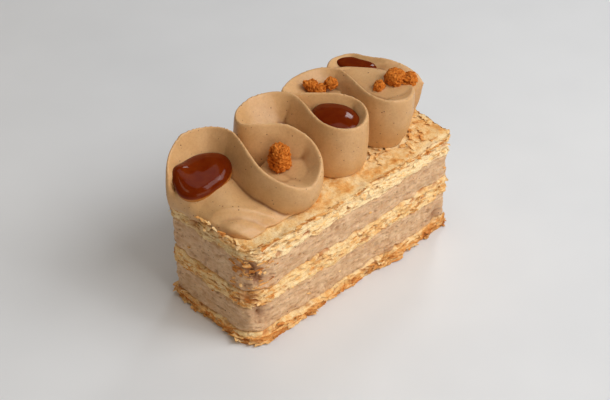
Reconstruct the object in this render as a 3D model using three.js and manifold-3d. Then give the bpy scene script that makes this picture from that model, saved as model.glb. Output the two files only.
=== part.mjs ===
// A speculoos mille-feuille: three sheets of flaky pastry, two layers of cream between them, and a
// ribbon of cream piped on top in tall bends, which hold drops of caramel and crumbs of spiced biscuit.
// Millimetres, +Z up. The origin is the centre of the flat underside, and +X runs along the slice.

import * as THREE from 'three';
import { mergeVertices } from 'three/addons/utils/BufferGeometryUtils.js';
import Module from 'manifold-3d';

const wasm = await Module();
wasm.setup();

// The slice as cut. Its right end is cut askew, and the deck lifts a little there.
const LENGTH = 120;
const WIDTH = 49;
const DECK = 50;
const GAP = 0.3;
const LAYERS = [
  { name: 'pastry_bottom', kind: 'pastry', from: 0, to: 5 },
  { name: 'cream_lower', kind: 'cream', from: 5, to: 19 },
  { name: 'pastry_middle', kind: 'pastry', from: 19, to: 27.5 },
  { name: 'cream_upper', kind: 'cream', from: 27.5, to: 40.5 },
  { name: 'pastry_top', kind: 'pastry', from: 40.5, to: DECK },
];
const END_SHIFT = 2;
const END_SKEW = 0.09;
const SKEW_FROM = 20;
const LIFT = 1.5;
const LIFT_FROM = 44;
const THIN_END = 3.5;
const THIN_LENGTH = 10;
const CORNERS = { frontLeft: 8, frontRight: 3, backRight: 3, backLeft: 3 };

// The mesh of a layer: steps along and across the slice, and rows of leaves up a cut side
const ALONG = 30;
const ACROSS = 12;
const ROWS = { pastry: 6, cream: 3 };
const LEAF_REACH = 0.75;
const CREAM_INSET = 0.5;
const DECK_RELIEF = 0.55;

// Torn hollows in the cut sides, mostly by the broken front corner
const HOLLOWS = [
  { at: [-57, -21, 37], radius: 4, depth: 3 },
  { at: [-54, -23.5, 33], radius: 3, depth: 2.4 },
  { at: [-58, -20, 25], radius: 4.5, depth: 2 },
  { at: [-54, -24, 15], radius: 4, depth: 2 },
  { at: [-60, 9, 46], radius: 3.5, depth: 2 },
  { at: [53, -24.5, 8], radius: 4, depth: 1.8 },
];

// The bends of the piped ribbon, in piping order. The ridge of a bend is an arc of an ellipse:
// side +1 swings out to +Y and -1 to -Y, and outer is the y where it turns round.
// rim holds the height of the ridge where the bend opens, turns round and closes.
// tuck is how far the foot of its wall draws in, floor is the bottom of its bowl, and steep is how
// steeply the bowl falls from the ridge.
const BENDS = [
  {
    side: 1, x: -48.3, half: 15.4, outer: 27.2, depth: 11.5, open: 155, close: 0,
    rim: [69, 77.3, 77.4], tuck: 2, floor: 60, steep: 2.8,
  },
  {
    side: -1, x: -22.9, half: 13.7, outer: -21.6, depth: 14.3, open: 180, close: -46,
    rim: [71, 63.4, 72.5], tuck: 3, floor: 61.5,
  },
  {
    side: 1, x: -12, half: 14.5, outer: 26.9, depth: 10.6, open: 180, close: 0,
    rim: [77.4, 77.8, 77.6], tuck: 2, floor: 66,
  },
  {
    side: -1, x: 9.8, half: 11, outer: -16.4, depth: 11.4, open: 180, close: -46,
    rim: [76.4, 74.6, 77], tuck: 1.5, floor: 67,
  },
  {
    side: 1, x: 16, half: 15.5, outer: 26.6, depth: 9.6, open: 180, close: 0,
    rim: [77, 77.2, 77.4], tuck: 2, floor: 70.5,
  },
  {
    side: -1, x: 37.2, half: 10.5, outer: -17.5, depth: 11.3, open: 180, close: 0,
    rim: [77.4, 76, 75.6], tuck: 5, floor: 73,
  },
  {
    side: 1, x: 38.5, half: 9.7, outer: 27, depth: 10, open: 150, close: 0,
    rim: [75.8, 75.8, 77], tuck: 2, floor: 73, steep: 3,
  },
];
// The ribbon climbs out of its tongue before the first bend, and ends in a nose after the last
const CLIMB = [[-60.6, 11.8, 53.5], [-62.4, 18.2, 60.5]];
// Its way from the last bend at the front over to the last one at the back
const CROSSING = [[46.9, 3.2, 75.8], [42.8, 10.9, 76], [36.6, 17.4, 76]];
const CROSSING_BANK = [-0.4, 0, 0.4];
const SINK = [[53, 7, 77.5], [56, 0.8, 75.7], [58, -4.9, 73], [58.4, -8.2, 69.6]];
// How far the foot trails behind the ridge there
const LEAN = [0, 1, 3, 5.5];
const NOSE = [{ ahead: 1.2, share: 0.86 }, { ahead: 2, share: 0.5 }];
const NOSE_SPREAD = 0.25;
// Cream that nearly fills the last two bowls: its height at a place, how it rises along x and y from
// there, and how high it may rise
const FILLS = [
  { at: [35.2, -2.5], height: 74, rise: [0.18, 0.042], most: 75.7 },
  { at: [45.8, 8.8], height: 74.9, rise: [0.28, -0.113], most: 76.9 },
];
const FILL_RINGS = [1, 0.6, 0.2];
const FILL_DEPTH = 7;

const STEPS = 3;
const SMALLEST_STEP = 0.18;
const SHAKE = 0.03;
const OVERLAP = 0.4;
const HIGHEST = 78;
const INNER_REACH = 13;
const SINK_REACH = 6;
const WALL_BULGE = 1.5;
const STEEP = 1.6;
const WALL_POINTS = [0.04, 0.15, 0.35, 0.6, 0.85, 1];
const BOWL_POINTS = [0.07, 0.22, 0.42, 0.68, 1, 1];
const PLUG_SIDES = 14;
const PLUG_SHARE = 0.75;

// The tongue where the piping starts: rows of y, left x, right x, height of its edge and of its crown,
// how far to the right the crown lies, and how sharp it is
const TONGUE = [
  { y: 22, left: -58, right: -38, edge: 3, crown: 6, shift: 1.2, sharp: 0.6 },
  { y: 16, left: -60.3, right: -37, edge: 3, crown: 8, shift: 1.2, sharp: 0.4 },
  { y: 10, left: -60.3, right: -36, edge: 3.2, crown: 12.6, shift: 1.2, sharp: 0.4 },
  { y: 6, left: -59.9, right: -35, edge: 3.3, crown: 12, shift: 1.15, sharp: 0.55 },
  { y: 0, left: -59, right: -33.5, edge: 3.8, crown: 10, shift: 0.9, sharp: 0.9 },
  { y: -5, left: -58, right: -32.3, edge: 4.2, crown: 8, shift: 0.8, sharp: 1 },
  { y: -10, left: -57, right: -31.5, edge: 4.2, crown: 6.4, shift: 0.8, sharp: 1 },
  { y: -14, left: -54.8, right: -31, edge: 3, crown: 3.8, shift: 0.8, sharp: 1 },
  { y: -17.4, left: -51.8, right: -29, edge: 0.4, crown: 0.8, shift: 0.8, sharp: 1 },
];
const TONGUE_POINTS = 8;

// Drops of caramel: centre, half sizes along their own axes, turns about z and about their own y and
// x, and how flat their top is
const CARAMELS = [
  { name: 'caramel_1', at: [-47.6, 17.2, 61.8], half: [14.3, 9.6, 4.8], turns: [-10, 16, 13], flat: 1.6 },
  { name: 'caramel_2', at: [9.9, -2.4, 71.5], half: [9.8, 11.8, 2.8], turns: [0, 0, 0], flat: 1.8 },
  { name: 'caramel_3', at: [43, 18.3, 73.9], half: [9.2, 4.7, 1.5], turns: [-62, 0, 0], flat: 3 },
];
// Where the largest drop swells up against the wall of its bowl
const SWELL = { at: [-59.5, 20], size: 5, lift: 2.8 };
const DROP_SIDES = 16;
const DROP_RINGS = 9;

// Crumbs of biscuit: each one is a lump, or two lumps grown together
const CRUMBS = [
  { name: 'crumb_1', lumps: [{ at: [-21.8, -1.8, 67.2], half: [4.6, 5.2, 6.8] }] },
  { name: 'crumb_2', lumps: [{ at: [17.5, 17.6, 74.2], half: [4.6, 3.7, 3.7] }] },
  { name: 'crumb_3', lumps: [{ at: [24.6, 14, 74.8], half: [3.1, 2.8, 2.6] }] },
  {
    name: 'crumb_4',
    lumps: [
      { at: [44.6, -4.1, 77.4], half: [4.8, 4.4, 3.8] },
      { at: [48.3, -8.2, 76.4], half: [4, 3.6, 3.1] },
    ],
  },
  { name: 'crumb_5', lumps: [{ at: [36.3, -1.9, 75.4], half: [2.7, 2.6, 2.9] }] },
];
const CRUMB_DETAIL = 2;
const CRUMB_ROUGHNESS = 0.16;

const MATERIALS = {
  pastry: new THREE.MeshStandardMaterial({ color: 0xe2b674, roughness: 0.75, metalness: 0 }),
  cream: new THREE.MeshStandardMaterial({ color: 0xc9a583, roughness: 0.6, metalness: 0 }),
  piped: new THREE.MeshStandardMaterial({ color: 0xcda675, roughness: 0.5, metalness: 0 }),
  caramel: new THREE.MeshStandardMaterial({ color: 0x7a2c08, roughness: 0.12, metalness: 0 }),
  crumb: new THREE.MeshStandardMaterial({ color: 0xb4631f, roughness: 0.85, metalness: 0 }),
};

const millefeuille = new THREE.Group();

// Small helpers

function addPiece(name, geometry, material) {
  const piece = new THREE.Mesh(geometry, material);
  piece.name = name;
  millefeuille.add(piece);
}

function roll(a, b) {
  // a repeatable number from 0 to 1 for a pair of whole numbers
  let bits = (a * 374761393 + b * 668265263) | 0;
  bits = Math.imul(bits ^ (bits >>> 13), 1274126177);
  return ((bits ^ (bits >>> 16)) >>> 0) / 4294967296;
}

function signedVolume(points, faces) {
  let sum = 0;
  for (const [a, b, c] of faces) {
    sum += points[a].dot(new THREE.Vector3().crossVectors(points[b], points[c])) / 6;
  }
  return sum;
}

function closedGeometry(points, faces) {
  // a closed mesh whose faces all point out
  const outward = signedVolume(points, faces) > 0;
  const index = faces.flatMap(([a, b, c]) => (outward ? [a, b, c] : [a, c, b]));
  const geometry = new THREE.BufferGeometry();
  const position = new Float32Array(points.flatMap((point) => point.toArray()));
  geometry.setAttribute('position', new THREE.BufferAttribute(position, 3));
  geometry.setIndex(index);
  return geometry;
}

function toSolid(source) {
  const geometry = source.clone();
  geometry.deleteAttribute('normal');
  geometry.deleteAttribute('uv');
  const merged = mergeVertices(geometry, 1e-4);
  return new wasm.Manifold(new wasm.Mesh({
    numProp: 3,
    vertProperties: new Float32Array(merged.attributes.position.array),
    triVerts: new Uint32Array(merged.index.array),
  }));
}

function fromSolid(solid) {
  const mesh = solid.getMesh();
  const geometry = new THREE.BufferGeometry();
  geometry.setAttribute('position', new THREE.BufferAttribute(mesh.vertProperties, 3));
  geometry.setIndex(new THREE.BufferAttribute(mesh.triVerts, 1));
  return geometry;
}

function shaken(geometry) {
  // moves each corner by a hair, so that corners which only touch each other come apart
  const position = geometry.attributes.position.array;
  for (let i = 0; i < position.length; i += 1) position[i] += SHAKE * (roll(i, 3) - 0.5);
  return geometry;
}

function largestBody(solid) {
  // without the slivers that a cut can leave loose
  return solid.decompose().reduce((best, body) => (body.volume() > best.volume() ? body : best));
}

// The layers of the slice

const RING = 2 * (ALONG + ACROSS);
const front = (i) => i;
const rightEnd = (j) => ALONG + j;
const back = (i) => 2 * ALONG + ACROSS - i;
const leftEnd = (j) => (RING - j) % RING;

function rectanglePlace(k) {
  // one step of the outline before its corners are rounded, and the way out from there
  const x = (i) => (i / ALONG - 0.5) * LENGTH;
  const y = (j) => (j / ACROSS - 0.5) * WIDTH;
  if (k <= ALONG) return [x(k), -WIDTH / 2, 0, -1];
  if (k < ALONG + ACROSS) return [LENGTH / 2, y(k - ALONG), 1, 0];
  if (k <= 2 * ALONG + ACROSS) return [x(2 * ALONG + ACROSS - k), WIDTH / 2, 0, 1];
  return [-LENGTH / 2, y(RING - k), -1, 0];
}

function ringPlace(k) {
  // a corner's steps are laid out along its arc, the same number on each side of its middle
  const [x, y, outX, outY] = rectanglePlace(k);
  const end = x > 0 ? 'Right' : 'Left';
  const radius = CORNERS[(y < 0 ? 'front' : 'back') + end];
  const fromEnd = LENGTH / 2 - Math.abs(x);
  const fromSide = WIDTH / 2 - Math.abs(y);
  if (fromEnd >= radius || fromSide >= radius) return skewed(x, y, outX, outY);
  const angle = (Math.PI / 4) * (1 + (fromSide - fromEnd) / radius);
  const signX = Math.sign(x);
  const signY = Math.sign(y);
  const arcX = LENGTH / 2 - radius * (1 - Math.cos(Math.PI / 2 - angle));
  const arcY = WIDTH / 2 - radius * (1 - Math.sin(Math.PI / 2 - angle));
  return skewed(
    signX * arcX,
    signY * arcY,
    signX * Math.cos(Math.PI / 2 - angle),
    signY * Math.sin(Math.PI / 2 - angle),
  );
}

function skewed(x, y, outX, outY) {
  const share = Math.max(0, (x - SKEW_FROM) / (LENGTH / 2 - SKEW_FROM));
  return { x: x + share * share * (END_SHIFT + END_SKEW * y), y, outX, outY };
}

function deckHeight(x) {
  return DECK + LIFT * Math.max(0, (x - LIFT_FROM) / (LENGTH / 2 - LIFT_FROM));
}

function interfaceHeight(level, x, y) {
  // the underside is flat, the deck is level, and the sheets between them sag and swell a little
  if (level === 0) return 0;
  if (level === DECK) return deckHeight(x);
  const thin = level > 40 ? THIN_END * Math.exp(-(((x + LENGTH / 2) / THIN_LENGTH) ** 2)) : 0;
  const long = 0.5 * Math.sin(0.11 * x + 0.4 * level + 0.05 * y);
  const short = 0.35 * Math.sin(0.33 * x + 1.3 * level - 0.12 * y);
  return level + thin + long + short;
}

function hollowDepth(point) {
  let depth = 0;
  for (const hollow of HOLLOWS) {
    const distance = point.distanceTo(new THREE.Vector3(...hollow.at));
    depth += hollow.depth * Math.exp(-((distance / hollow.radius) ** 2));
  }
  return depth;
}

function sideReach(kind, seed, row, k) {
  // how far a cut side stands out at one row: leaves of pastry stand out in turn, cream is smooth
  const chance = roll(seed * 97 + row, k);
  if (kind === 'cream') return -CREAM_INSET + 0.4 * (chance - 0.5);
  const leaf = row % 2 === 0 ? 1 : -0.55;
  return LEAF_REACH * leaf * (0.5 + chance) + 0.3 * (roll(seed * 31, k) - 0.5);
}

function heightBetween(layer, x, y, share) {
  const bottom = interfaceHeight(layer.from, x, y) + (layer.from > 0 ? GAP / 2 : 0);
  const top = interfaceHeight(layer.to, x, y) - (layer.to < DECK ? GAP / 2 : 0);
  return THREE.MathUtils.lerp(bottom, top, share);
}

function sidePoint(layer, seed, row, rows, k) {
  // the rows at a seam between two layers have the same outline in both
  const place = ringPlace(k);
  const share = row / (rows - 1);
  const level = THREE.MathUtils.lerp(layer.from, layer.to, share);
  const seam = (row === 0 && level > 0) || (row === rows - 1 && level < DECK);
  const chance = roll(level * 13, k) - 0.5;
  const reach = seam ? 0.3 * chance - CREAM_INSET : sideReach(layer.kind, seed, row, k);
  const inset = hollowDepth(new THREE.Vector3(place.x, place.y, level));
  const x = place.x + place.outX * (reach - inset);
  const y = place.y + place.outY * (reach - inset);
  return new THREE.Vector3(x, y, heightBetween(layer, x, y, share));
}

function stripCap(start, faces) {
  // a cap of strips that run straight across the slice, the same on both sides of a joint
  const at = (k) => start + k;
  for (let i = 1; i < ALONG - 1; i += 1) {
    faces.push([at(front(i)), at(front(i + 1)), at(back(i + 1))]);
    faces.push([at(front(i)), at(back(i + 1)), at(back(i))]);
  }
  for (let j = 0; j < ACROSS; j += 1) {
    faces.push([at(front(1)), at(leftEnd(j + 1)), at(leftEnd(j))]);
    faces.push([at(front(ALONG - 1)), at(rightEnd(j)), at(rightEnd(j + 1))]);
  }
  faces.push([at(front(1)), at(back(1)), at(back(0))]);
  faces.push([at(front(ALONG - 1)), at(back(ALONG)), at(back(ALONG - 1))]);
}

function deckCap(start, points, faces) {
  // the baked top of the upper sheet, with low relief all over
  const grid = [];
  for (let i = 0; i <= ALONG; i += 1) {
    grid.push([]);
    for (let j = 0; j <= ACROSS; j += 1) {
      if (j === 0) grid[i].push(start + front(i));
      else if (j === ACROSS) grid[i].push(start + back(i));
      else if (i === 0) grid[i].push(start + leftEnd(j));
      else if (i === ALONG) grid[i].push(start + rightEnd(j));
      else {
        const side = ringPlace(front(i));
        const far = ringPlace(back(i));
        const x = THREE.MathUtils.lerp(side.x, far.x, j / ACROSS);
        const y = THREE.MathUtils.lerp(side.y, far.y, j / ACROSS);
        grid[i].push(points.length);
        points.push(new THREE.Vector3(x, y, deckHeight(x) - DECK_RELIEF * roll(i * 53, j)));
      }
    }
  }
  for (let i = 0; i < ALONG; i += 1) {
    for (let j = 0; j < ACROSS; j += 1) {
      faces.push([grid[i][j], grid[i + 1][j], grid[i + 1][j + 1]]);
      faces.push([grid[i][j], grid[i + 1][j + 1], grid[i][j + 1]]);
    }
  }
}

function layerGeometry(layer, seed) {
  const rows = ROWS[layer.kind];
  const points = [];
  const faces = [];
  for (let row = 0; row < rows; row += 1) {
    for (let k = 0; k < RING; k += 1) points.push(sidePoint(layer, seed, row, rows, k));
  }
  for (let row = 0; row < rows - 1; row += 1) {
    for (let k = 0; k < RING; k += 1) {
      const next = (k + 1) % RING;
      faces.push([row * RING + k, row * RING + next, (row + 1) * RING + next]);
      faces.push([row * RING + k, (row + 1) * RING + next, (row + 1) * RING + k]);
    }
  }
  const lower = [];
  stripCap(0, lower);
  faces.push(...lower.map(([a, b, c]) => [a, c, b]));
  const upper = (rows - 1) * RING;
  if (layer.to === DECK) deckCap(upper, points, faces);
  else stripCap(upper, faces);
  return closedGeometry(points, faces);
}

// The piped ribbon

const FOOT = DECK + GAP;

function ribbonControls() {
  const controls = CLIMB.map((point) => ({
    at: new THREE.Vector3(...point),
    bank: 1,
    tuck: 1,
    floor: BENDS[0].floor,
    lean: 0,
    reach: INNER_REACH,
    steep: BENDS[0].steep,
  }));
  const peaks = [];
  const starts = [];
  for (const bend of BENDS) {
    if (bend === BENDS[BENDS.length - 1]) {
      controls.push(...CROSSING.map((point, i) => ({
        at: new THREE.Vector3(...point),
        bank: CROSSING_BANK[i],
        tuck: 1,
        floor: bend.floor,
        lean: 0,
        reach: INNER_REACH,
        steep: STEEP,
      })));
    }
    starts.push(controls.length);
    const phases = [bend.open, (bend.open + 90) / 2, 90, 45, 0];
    if (bend.close < 0) phases.push(bend.close);
    for (const phase of phases) {
      const angle = THREE.MathUtils.degToRad(phase);
      const share = phase > 90 ? (phase - 90) / (bend.open - 90) : (90 - phase) / 90;
      const [enter, turn, leave] = bend.rim;
      const x = bend.x + bend.half * Math.cos(angle);
      const y = bend.outer + bend.side * bend.depth * (Math.sin(angle) - 1);
      const z = Math.min(HIGHEST, THREE.MathUtils.lerp(turn, phase > 90 ? enter : leave, share));
      if (phase === 90) peaks.push(controls.length);
      controls.push({
        at: new THREE.Vector3(x, y, z),
        bank: bend.side * (0.6 + 0.4 * Math.sin(angle)),
        tuck: bend.tuck,
        floor: bend.floor,
        lean: 0,
        reach: INNER_REACH,
        steep: bend.steep ?? STEEP,
      });
    }
  }
  const lastFloor = BENDS[BENDS.length - 1].floor;
  controls.push(...SINK.map((point, i) => ({
    at: new THREE.Vector3(...point),
    bank: 0.8,
    tuck: 1,
    floor: Math.min(lastFloor, point[2] - 2),
    lean: LEAN[i],
    reach: SINK_REACH,
    steep: STEEP,
  })));
  return { controls, peaks, starts };
}

function turnRadius(before, here, after) {
  // the radius of the ridge as seen from above, positive where the ribbon turns left
  const cross = (here.x - before.x) * (after.y - here.y) - (here.y - before.y) * (after.x - here.x);
  const sides = Math.hypot(here.x - before.x, here.y - before.y)
    * Math.hypot(after.x - here.x, after.y - here.y)
    * Math.hypot(after.x - before.x, after.y - before.y);
  return sides / (2 * cross);
}

function flank(height, bowl, wall, reach, tuck, steep) {
  // points down one side of the ridge: wall 1 is a steep outer wall, wall 0 the slope of a bowl
  const points = [];
  for (let i = 0; i < WALL_POINTS.length; i += 1) {
    const down = WALL_POINTS[i];
    const wallOut = WALL_BULGE * Math.sqrt(down) * (1 - down) - tuck * down ** 2.5;
    const bowlOut = reach * BOWL_POINTS[i];
    const bowlDown = bowl * (1 - (1 - bowlOut / INNER_REACH) ** steep);
    const foot = i === WALL_POINTS.length - 1;
    points.push([
      THREE.MathUtils.lerp(bowlOut, wallOut, wall),
      THREE.MathUtils.lerp(foot ? height : bowlDown, height * down, wall),
    ]);
  }
  return points;
}

function mixedControl(controls, place, value) {
  const index = Math.min(Math.floor(place), controls.length - 2);
  return THREE.MathUtils.lerp(controls[index][value], controls[index + 1][value], place - index);
}

function ribbonSection(curve, controls, place) {
  const last = controls.length - 1;
  const at = (p) => curve.getPoint(THREE.MathUtils.clamp(p / last, 0, 1));
  const ridge = at(place);
  const before = at(place - 0.2);
  const after = at(place + 0.2);
  const along = new THREE.Vector2(after.x - before.x, after.y - before.y).normalize();
  const radius = turnRadius(before, at(place === 0 ? 0.1 : place), after);
  const height = ridge.z - FOOT;
  const bowl = Math.max(2, ridge.z - mixedControl(controls, place, 'floor'));
  const outline = [];
  for (const side of [-1, 1]) {
    const wall = (1 + side * mixedControl(controls, place, 'bank')) / 2;
    const room = radius * side > 0 ? 0.85 * Math.abs(radius) : INNER_REACH;
    const reach = Math.min(mixedControl(controls, place, 'reach'), room);
    const [tuck, steep] = ['tuck', 'steep'].map((value) => mixedControl(controls, place, value));
    const points = flank(height, bowl, wall, reach, tuck, steep);
    const half = points.map(([out, down]) => [side * out, height - down]);
    if (side < 0) outline.push(...half.reverse(), [0, height]);
    else outline.push(...half);
  }
  return placedSection(outline, ridge, along, mixedControl(controls, place, 'lean'));
}

function placedSection(outline, ridge, along, lean) {
  // lean is how far the foot trails behind the ridge
  const height = ridge.z - FOOT;
  const points = outline.map(([out, up]) => {
    const behind = lean * Math.sqrt(Math.max(0, 1 - up / height));
    return new THREE.Vector3(
      ridge.x - along.y * out - along.x * behind,
      ridge.y + along.x * out - along.y * behind,
      FOOT + up,
    );
  });
  return { outline, points, ridge, along, lean };
}

function movedBack(section) {
  // the start of a stretch, moved back so that it overlaps the stretch before it
  const { x, y } = section.along;
  const back = new THREE.Vector3(-x * OVERLAP, -y * OVERLAP, 0);
  return { ...section, points: section.points.map((point) => point.clone().add(back)) };
}

function noseSections(section) {
  // the last section again, smaller and further on, so that the ribbon ends in a round nose
  const { outline, ridge, along, lean } = section;
  return NOSE.map(({ ahead, share }) => {
    const shift = ahead - lean * Math.sqrt(1 - share);
    const tip = new THREE.Vector3(
      ridge.x + along.x * shift,
      ridge.y + along.y * shift,
      THREE.MathUtils.lerp(FOOT, ridge.z, share),
    );
    const smaller = outline.map(([out, up]) => [out * share, up * share]);
    return placedSection(smaller, tip, along, lean + shift - NOSE_SPREAD * ahead);
  });
}

function closeEnd(outline, start, sameWay, faces) {
  // fills one end of a loft, its triangles turning the same way as the outline or against it
  const flat = outline.map(([x, y]) => new THREE.Vector2(x, y));
  const turn = THREE.ShapeUtils.area(flat);
  for (const [a, b, c] of THREE.ShapeUtils.triangulateShape(flat, [])) {
    const same = THREE.ShapeUtils.area([flat[a], flat[b], flat[c]]) * turn > 0;
    faces.push(same === sameWay ? [start + a, start + b, start + c] : [start + a, start + c, start + b]);
  }
}

function loft(sections) {
  // a closed skin through sections that all have the same number of points
  const count = sections[0].points.length;
  const points = sections.flatMap((section) => section.points);
  const faces = [];
  for (let s = 0; s < sections.length - 1; s += 1) {
    for (let k = 0; k < count; k += 1) {
      const next = (k + 1) % count;
      faces.push([s * count + k, s * count + next, (s + 1) * count + next]);
      faces.push([s * count + k, (s + 1) * count + next, (s + 1) * count + k]);
    }
  }
  closeEnd(sections[0].outline, 0, false, faces);
  closeEnd(sections[sections.length - 1].outline, (sections.length - 1) * count, true, faces);
  return closedGeometry(points, faces);
}

function ribbonSolid() {
  const { controls, peaks } = ribbonControls();
  const curve = new THREE.CatmullRomCurve3(controls.map((control) => control.at), false, 'centripetal');
  const cuts = [0, ...peaks, controls.length - 1];
  let ribbon = null;
  for (let c = 0; c < cuts.length - 1; c += 1) {
    const sections = [];
    for (let s = cuts[c] * STEPS; s <= cuts[c + 1] * STEPS; s += 1) {
      sections.push(ribbonSection(curve, controls, s / STEPS));
    }
    if (c > 0) sections[0] = movedBack(sections[0]);
    if (c === cuts.length - 2) sections.push(...noseSections(sections[sections.length - 1]));
    const stretch = toSolid(loft(sections));
    ribbon = ribbon ? ribbon.add(stretch) : stretch;
  }
  return ribbon;
}

function plugSolid(bend) {
  // cream that fills the middle of a bend up to the floor of its bowl
  const height = bend.floor - FOOT;
  const geometry = new THREE.CylinderGeometry(1, 1, height, PLUG_SIDES);
  geometry.rotateX(Math.PI / 2);
  geometry.scale(PLUG_SHARE * bend.half, PLUG_SHARE * bend.depth, 1);
  geometry.translate(bend.x, bend.outer - bend.side * bend.depth, FOOT + height / 2);
  return toSolid(geometry);
}

function fillSolid(fill, ridge) {
  // cream inside a bowl, out to the ridge round it, its underside buried in the walls
  const middle = new THREE.Vector3();
  for (const point of ridge) middle.addScaledVector(point, 1 / ridge.length);
  const rings = FILL_RINGS.map((share) => ridge.map((point) => {
    const x = THREE.MathUtils.lerp(middle.x, point.x, share);
    const y = THREE.MathUtils.lerp(middle.y, point.y, share);
    const top = fill.height + (x - fill.at[0]) * fill.rise[0] + (y - fill.at[1]) * fill.rise[1];
    return new THREE.Vector3(x, y, Math.min(top, fill.most, point.z - 0.1 + 2 * (1 - share)));
  }));
  const under = fill.height - FILL_DEPTH;
  rings.unshift(ridge.map(({ x, y }) => new THREE.Vector3(x, y, under).lerp(middle, 0.1).setZ(under)));
  const sections = rings.map((points) => {
    const outline = points.map((point) => [point.x, point.y]);
    return { outline, points };
  });
  return toSolid(loft(sections));
}

function bowlFills() {
  const { controls, starts } = ribbonControls();
  const curve = new THREE.CatmullRomCurve3(controls.map((control) => control.at), false, 'centripetal');
  const [front, back] = [starts[BENDS.length - 2], starts[BENDS.length - 1]];
  const spans = [[front - 1, back], [back - 2, controls.length - 2]];
  return FILLS.map((fill, i) => {
    const ridge = [];
    for (let place = spans[i][0]; place <= spans[i][1]; place += 1) {
      ridge.push(curve.getPoint(place / (controls.length - 1)));
    }
    return fillSolid(fill, ridge);
  });
}

function tongueSolid() {
  // a low rounded mound: an edge stands on the deck at its left, and its back arches up from there
  const sections = TONGUE.map((row) => {
    const outline = [[row.left, FOOT]];
    for (let k = 0; k < TONGUE_POINTS; k += 1) {
      const share = k / (TONGUE_POINTS - 1);
      const arch = Math.abs(Math.sin(Math.PI * share ** row.shift)) ** row.sharp;
      const lift = row.edge + (row.crown - row.edge) * arch;
      outline.push([THREE.MathUtils.lerp(row.left, row.right, share), FOOT + lift]);
    }
    outline.push([row.right, FOOT]);
    return { outline, points: outline.map(([x, z]) => new THREE.Vector3(x, row.y, z)) };
  });
  return toSolid(loft(sections));
}

// Drops and crumbs

function dropGeometry(drop, extra) {
  const geometry = new THREE.SphereGeometry(1, DROP_SIDES, DROP_RINGS);
  geometry.rotateX(Math.PI / 2);
  const position = geometry.attributes.position;
  for (let i = 0; i < position.count; i += 1) {
    const height = position.getZ(i);
    if (height > 0) position.setZ(i, 1 - (1 - Math.min(height, 1)) ** drop.flat);
  }
  const [aboutZ, aboutY, aboutX] = drop.turns.map(THREE.MathUtils.degToRad);
  geometry.scale(...drop.half.map((half) => half + extra));
  geometry.rotateX(aboutX);
  geometry.rotateY(-aboutY);
  geometry.rotateZ(aboutZ);
  geometry.translate(...drop.at);
  for (let i = 0; i < position.count; i += 1) {
    const distance = Math.hypot(position.getX(i) - SWELL.at[0], position.getY(i) - SWELL.at[1]);
    position.setZ(i, position.getZ(i) + SWELL.lift * Math.exp(-((distance / SWELL.size) ** 2)));
  }
  return geometry;
}

function lumpGeometry(lump, seed, extra) {
  const geometry = new THREE.IcosahedronGeometry(1, CRUMB_DETAIL);
  geometry.deleteAttribute('normal');
  geometry.deleteAttribute('uv');
  const merged = mergeVertices(geometry, 1e-4);
  const position = merged.attributes.position;
  for (let i = 0; i < position.count; i += 1) {
    const size = 1 + CRUMB_ROUGHNESS * (roll(seed, i) - 0.5);
    const point = new THREE.Vector3().fromBufferAttribute(position, i);
    position.setXYZ(
      i,
      lump.at[0] + point.x * (size * lump.half[0] + extra),
      lump.at[1] + point.y * (size * lump.half[1] + extra),
      lump.at[2] + point.z * (size * lump.half[2] + extra),
    );
  }
  return merged;
}

function crumbSolid(crumb, seed, extra) {
  const lumps = crumb.lumps.map((lump, i) => toSolid(lumpGeometry(lump, seed * 7 + i, extra)));
  return lumps.reduce((whole, lump) => whole.add(lump));
}

// The whole slice

let deck = null;
LAYERS.forEach((layer, i) => {
  const geometry = layerGeometry(layer, i + 1);
  addPiece(layer.name, geometry, MATERIALS[layer.kind]);
  if (layer.to === DECK) deck = toSolid(geometry);
});

let piped = ribbonSolid().add(tongueSolid());
for (const bend of BENDS) piped = piped.add(plugSolid(bend));
for (const fill of bowlFills()) piped = piped.add(fill);
piped = piped.subtract(deck.translate([0, 0, 0.95 * GAP]));
for (const drop of CARAMELS) {
  piped = piped.subtract(toSolid(dropGeometry(drop, GAP)));
  addPiece(drop.name, dropGeometry(drop, 0), MATERIALS.caramel);
}
CRUMBS.forEach((crumb, i) => {
  piped = piped.subtract(crumbSolid(crumb, i + 1, GAP));
  addPiece(crumb.name, fromSolid(crumbSolid(crumb, i + 1, 0)), MATERIALS.crumb);
});
const cleaned = largestBody(piped.simplify(SMALLEST_STEP));
addPiece('piped_cream', shaken(fromSolid(cleaned)), MATERIALS.piped);

export default millefeuille;
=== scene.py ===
import itertools
import math
import random

import bmesh
import bpy
import numpy as np
from mathutils import Matrix, Vector


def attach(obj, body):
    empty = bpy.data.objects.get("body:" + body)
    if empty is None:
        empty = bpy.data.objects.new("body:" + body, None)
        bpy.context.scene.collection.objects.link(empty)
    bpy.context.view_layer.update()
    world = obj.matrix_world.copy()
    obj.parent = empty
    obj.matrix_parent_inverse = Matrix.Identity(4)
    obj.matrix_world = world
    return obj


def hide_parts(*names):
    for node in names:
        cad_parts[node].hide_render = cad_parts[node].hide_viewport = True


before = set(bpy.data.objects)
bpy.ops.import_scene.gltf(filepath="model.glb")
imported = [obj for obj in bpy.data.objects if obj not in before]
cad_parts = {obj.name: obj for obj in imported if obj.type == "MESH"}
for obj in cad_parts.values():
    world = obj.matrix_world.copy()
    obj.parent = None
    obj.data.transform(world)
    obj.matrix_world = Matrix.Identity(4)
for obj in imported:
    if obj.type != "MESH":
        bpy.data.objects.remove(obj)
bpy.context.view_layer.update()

# A speculoos mille-feuille: flaky pastry, two layers of cream, and a ribbon of cream piped on top
# with caramel and crumbs of biscuit in its bends. Shapes are worked out in millimetres, with the
# origin in the middle of the flat underside and +X along the slice, and MM turns them into metres.
MM = 0.001

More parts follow.
